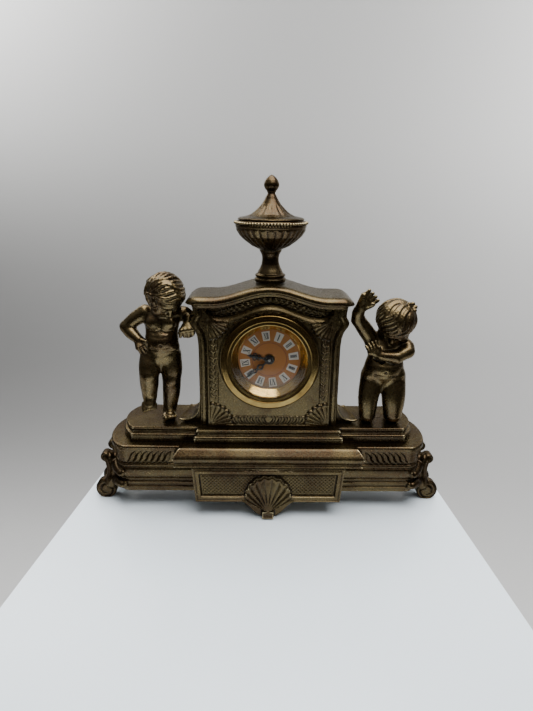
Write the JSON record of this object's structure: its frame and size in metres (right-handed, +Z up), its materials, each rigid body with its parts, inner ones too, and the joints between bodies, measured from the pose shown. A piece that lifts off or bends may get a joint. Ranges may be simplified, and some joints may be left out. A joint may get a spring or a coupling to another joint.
{
  "type": "brass mantel clock",
  "caption": "Ornate cast-brass mantel clock: dial in an arched case under an urn, flanked by child figures, on a long scroll-footed base; spring-wound, with turning hands",
  "frame": {"origin": "middle of the bounding box at table level", "axes": "+X to the right along the base, +Y from the dial to the rear cover, +Z up"},
  "size_m": [0.298, 0.086, 0.269],
  "materials": {
    "aged_brass": "cast brass, dark brown patina in the hollows, rubbed on the high points",
    "polished_brass": "turned and pressed brass, lightly tarnished",
    "movement_brass": "clean sheet and wheel brass",
    "steel": "plain steel",
    "blued_steel": "blued spring steel",
    "dial_face": "printed copper-coloured dial, matt",
    "hand_black": "black, satin",
    "lens_glass": "clear glass"
  },
  "bodies": {
    "clock": {"base_shell": "aged_brass", "base_deck": "aged_brass", "front_tablet": "aged_brass", "apron_panel": "aged_brass", "foot_front_left": "aged_brass", "foot_front_right": "aged_brass", "foot_rear_left": "aged_brass", "foot_rear_right": "aged_brass", "case_body": "aged_brass", "front_plate": "aged_brass", "case_scroll_left": "aged_brass", "case_scroll_right": "aged_brass", "cornice": "aged_brass", "urn_foot": "aged_brass", "urn_bowl": "aged_brass", "urn_lid": "aged_brass", "urn_knob": "aged_brass", "putto_left": "aged_brass", "putto_right": "aged_brass", "rear_cover": "polished_brass", "bezel": "polished_brass", "dial_surround": "polished_brass", "movement_drum": "polished_brass", "drum_cap": "polished_brass", "urn_nut": "polished_brass", "movement_pillar_1": "movement_brass", "movement_pillar_2": "movement_brass", "movement_pillar_3": "movement_brass", "plate_front": "movement_brass", "plate_back": "movement_brass", "case_bolt_left": "steel", "case_bolt_right": "steel", "putto_left_screw": "steel", "putto_right_screw": "steel", "urn_rod": "steel", "hairspring": "blued_steel", "dial": "dial_face", "lens": "lens_glass"},
    "minute_hand_set": {"centre_arbor": "steel", "minute_hand": "hand_black", "hand_nut": "polished_brass", "set_knob": "polished_brass"},
    "hour_hand_set": {"hour_wheel": "movement_brass", "hour_hand": "hand_black"},
    "motion_wheel": {"minute_wheel": "movement_brass"},
    "winding_set": {"barrel_arbor": "steel", "ratchet_wheel": "steel", "winding_key": "polished_brass"},
    "barrel_set": {"barrel": "movement_brass", "mainspring": "blued_steel"},
    "click_lever": {"click": "steel"},
    "centre_wheel_set": {"centre_wheel": "movement_brass"},
    "third_wheel_set": {"third_wheel": "movement_brass"},
    "fourth_wheel_set": {"fourth_wheel": "movement_brass"},
    "escape_wheel_set": {"escape_wheel": "movement_brass"},
    "pallet_set": {"pallet_lever": "steel"},
    "balance_set": {"balance_wheel": "movement_brass"},
    "regulator": {"regulator_lever": "steel"}
  },
  "joints": [
    {"name": "minute_hand_turn", "type": "hinge", "parent": "clock", "child": "minute_hand_set", "pos_m": [0, -0.01658, 0.1278], "axis": [0, 1, 0], "continuous": true},
    {"name": "hour_hand_turn", "type": "hinge", "parent": "clock", "child": "hour_hand_set", "pos_m": [0, -0.01658, 0.1278], "axis": [0, 1, 0], "continuous": true},
    {"name": "motion_wheel_turn", "type": "hinge", "parent": "clock", "child": "motion_wheel", "pos_m": [0.00877, -0.01658, 0.13477], "axis": [0, 1, 0], "continuous": true},
    {"name": "winding_turn", "type": "hinge", "parent": "clock", "child": "winding_set", "pos_m": [0.00199, -0.01658, 0.11451], "axis": [0, -1, 0], "range_deg": [0, 1440], "deforming": ["mainspring"]},
    {"name": "click_lift", "type": "hinge", "parent": "clock", "child": "click_lever", "pos_m": [0.00954, -0.01658, 0.12305], "axis": [0, 1, 0], "range_deg": [0, 12]},
    {"name": "fourth_wheel_turn", "type": "hinge", "parent": "clock", "child": "fourth_wheel_set", "pos_m": [-0.00332, -0.01658, 0.13942], "axis": [0, 1, 0], "continuous": true},
    {"name": "third_wheel_turn", "type": "hinge", "parent": "clock", "child": "third_wheel_set", "pos_m": [0.00383, -0.01658, 0.1366], "axis": [0, 1, 0], "continuous": true},
    {"name": "centre_wheel_turn", "type": "hinge", "parent": "clock", "child": "centre_wheel_set", "pos_m": [0, -0.01658, 0.1278], "axis": [0, 1, 0], "continuous": true},
    {"name": "barrel_turn", "type": "hinge", "parent": "clock", "child": "barrel_set", "pos_m": [0.00199, -0.01658, 0.11451], "axis": [0, 1, 0], "continuous": true, "deforming": ["mainspring"]},
    {"name": "escape_wheel_turn", "type": "hinge", "parent": "clock", "child": "escape_wheel_set", "pos_m": [-0.00932, -0.01658, 0.13545], "axis": [0, 1, 0], "continuous": true},
    {"name": "balance_swing", "type": "hinge", "parent": "clock", "child": "balance_set", "pos_m": [-0.01926, -0.01658, 0.12557], "axis": [0, 1, 0], "range_deg": [-120, 120], "stiffness_Nm_per_rad": 0.000002, "deforming": ["hairspring"]},
    {"name": "pallet_rock", "type": "hinge", "parent": "clock", "child": "pallet_set", "pos_m": [-0.01187, -0.01658, 0.12957], "axis": [0, 1, 0], "range_deg": [-5, 5]},
    {"name": "regulator_swing", "type": "hinge", "parent": "clock", "child": "regulator", "pos_m": [-0.01926, -0.01658, 0.12557], "axis": [0, 1, 0], "range_deg": [-22, 22]}
  ],
  "couplings": [
    {"joint": "hour_hand_turn", "follows": "minute_hand_turn", "ratio": 0.083333},
    {"joint": "motion_wheel_turn", "follows": "minute_hand_turn", "ratio": -0.33333},
    {"joint": "third_wheel_turn", "follows": "fourth_wheel_turn", "ratio": -0.14286},
    {"joint": "centre_wheel_turn", "follows": "fourth_wheel_turn", "ratio": 0.020408},
    {"joint": "barrel_turn", "follows": "fourth_wheel_turn", "ratio": -0.0040816},
    {"joint": "escape_wheel_turn", "follows": "fourth_wheel_turn", "ratio": -7},
    {"joint": "pallet_rock", "follows": "balance_swing", "ratio": -0.04}
  ]
}
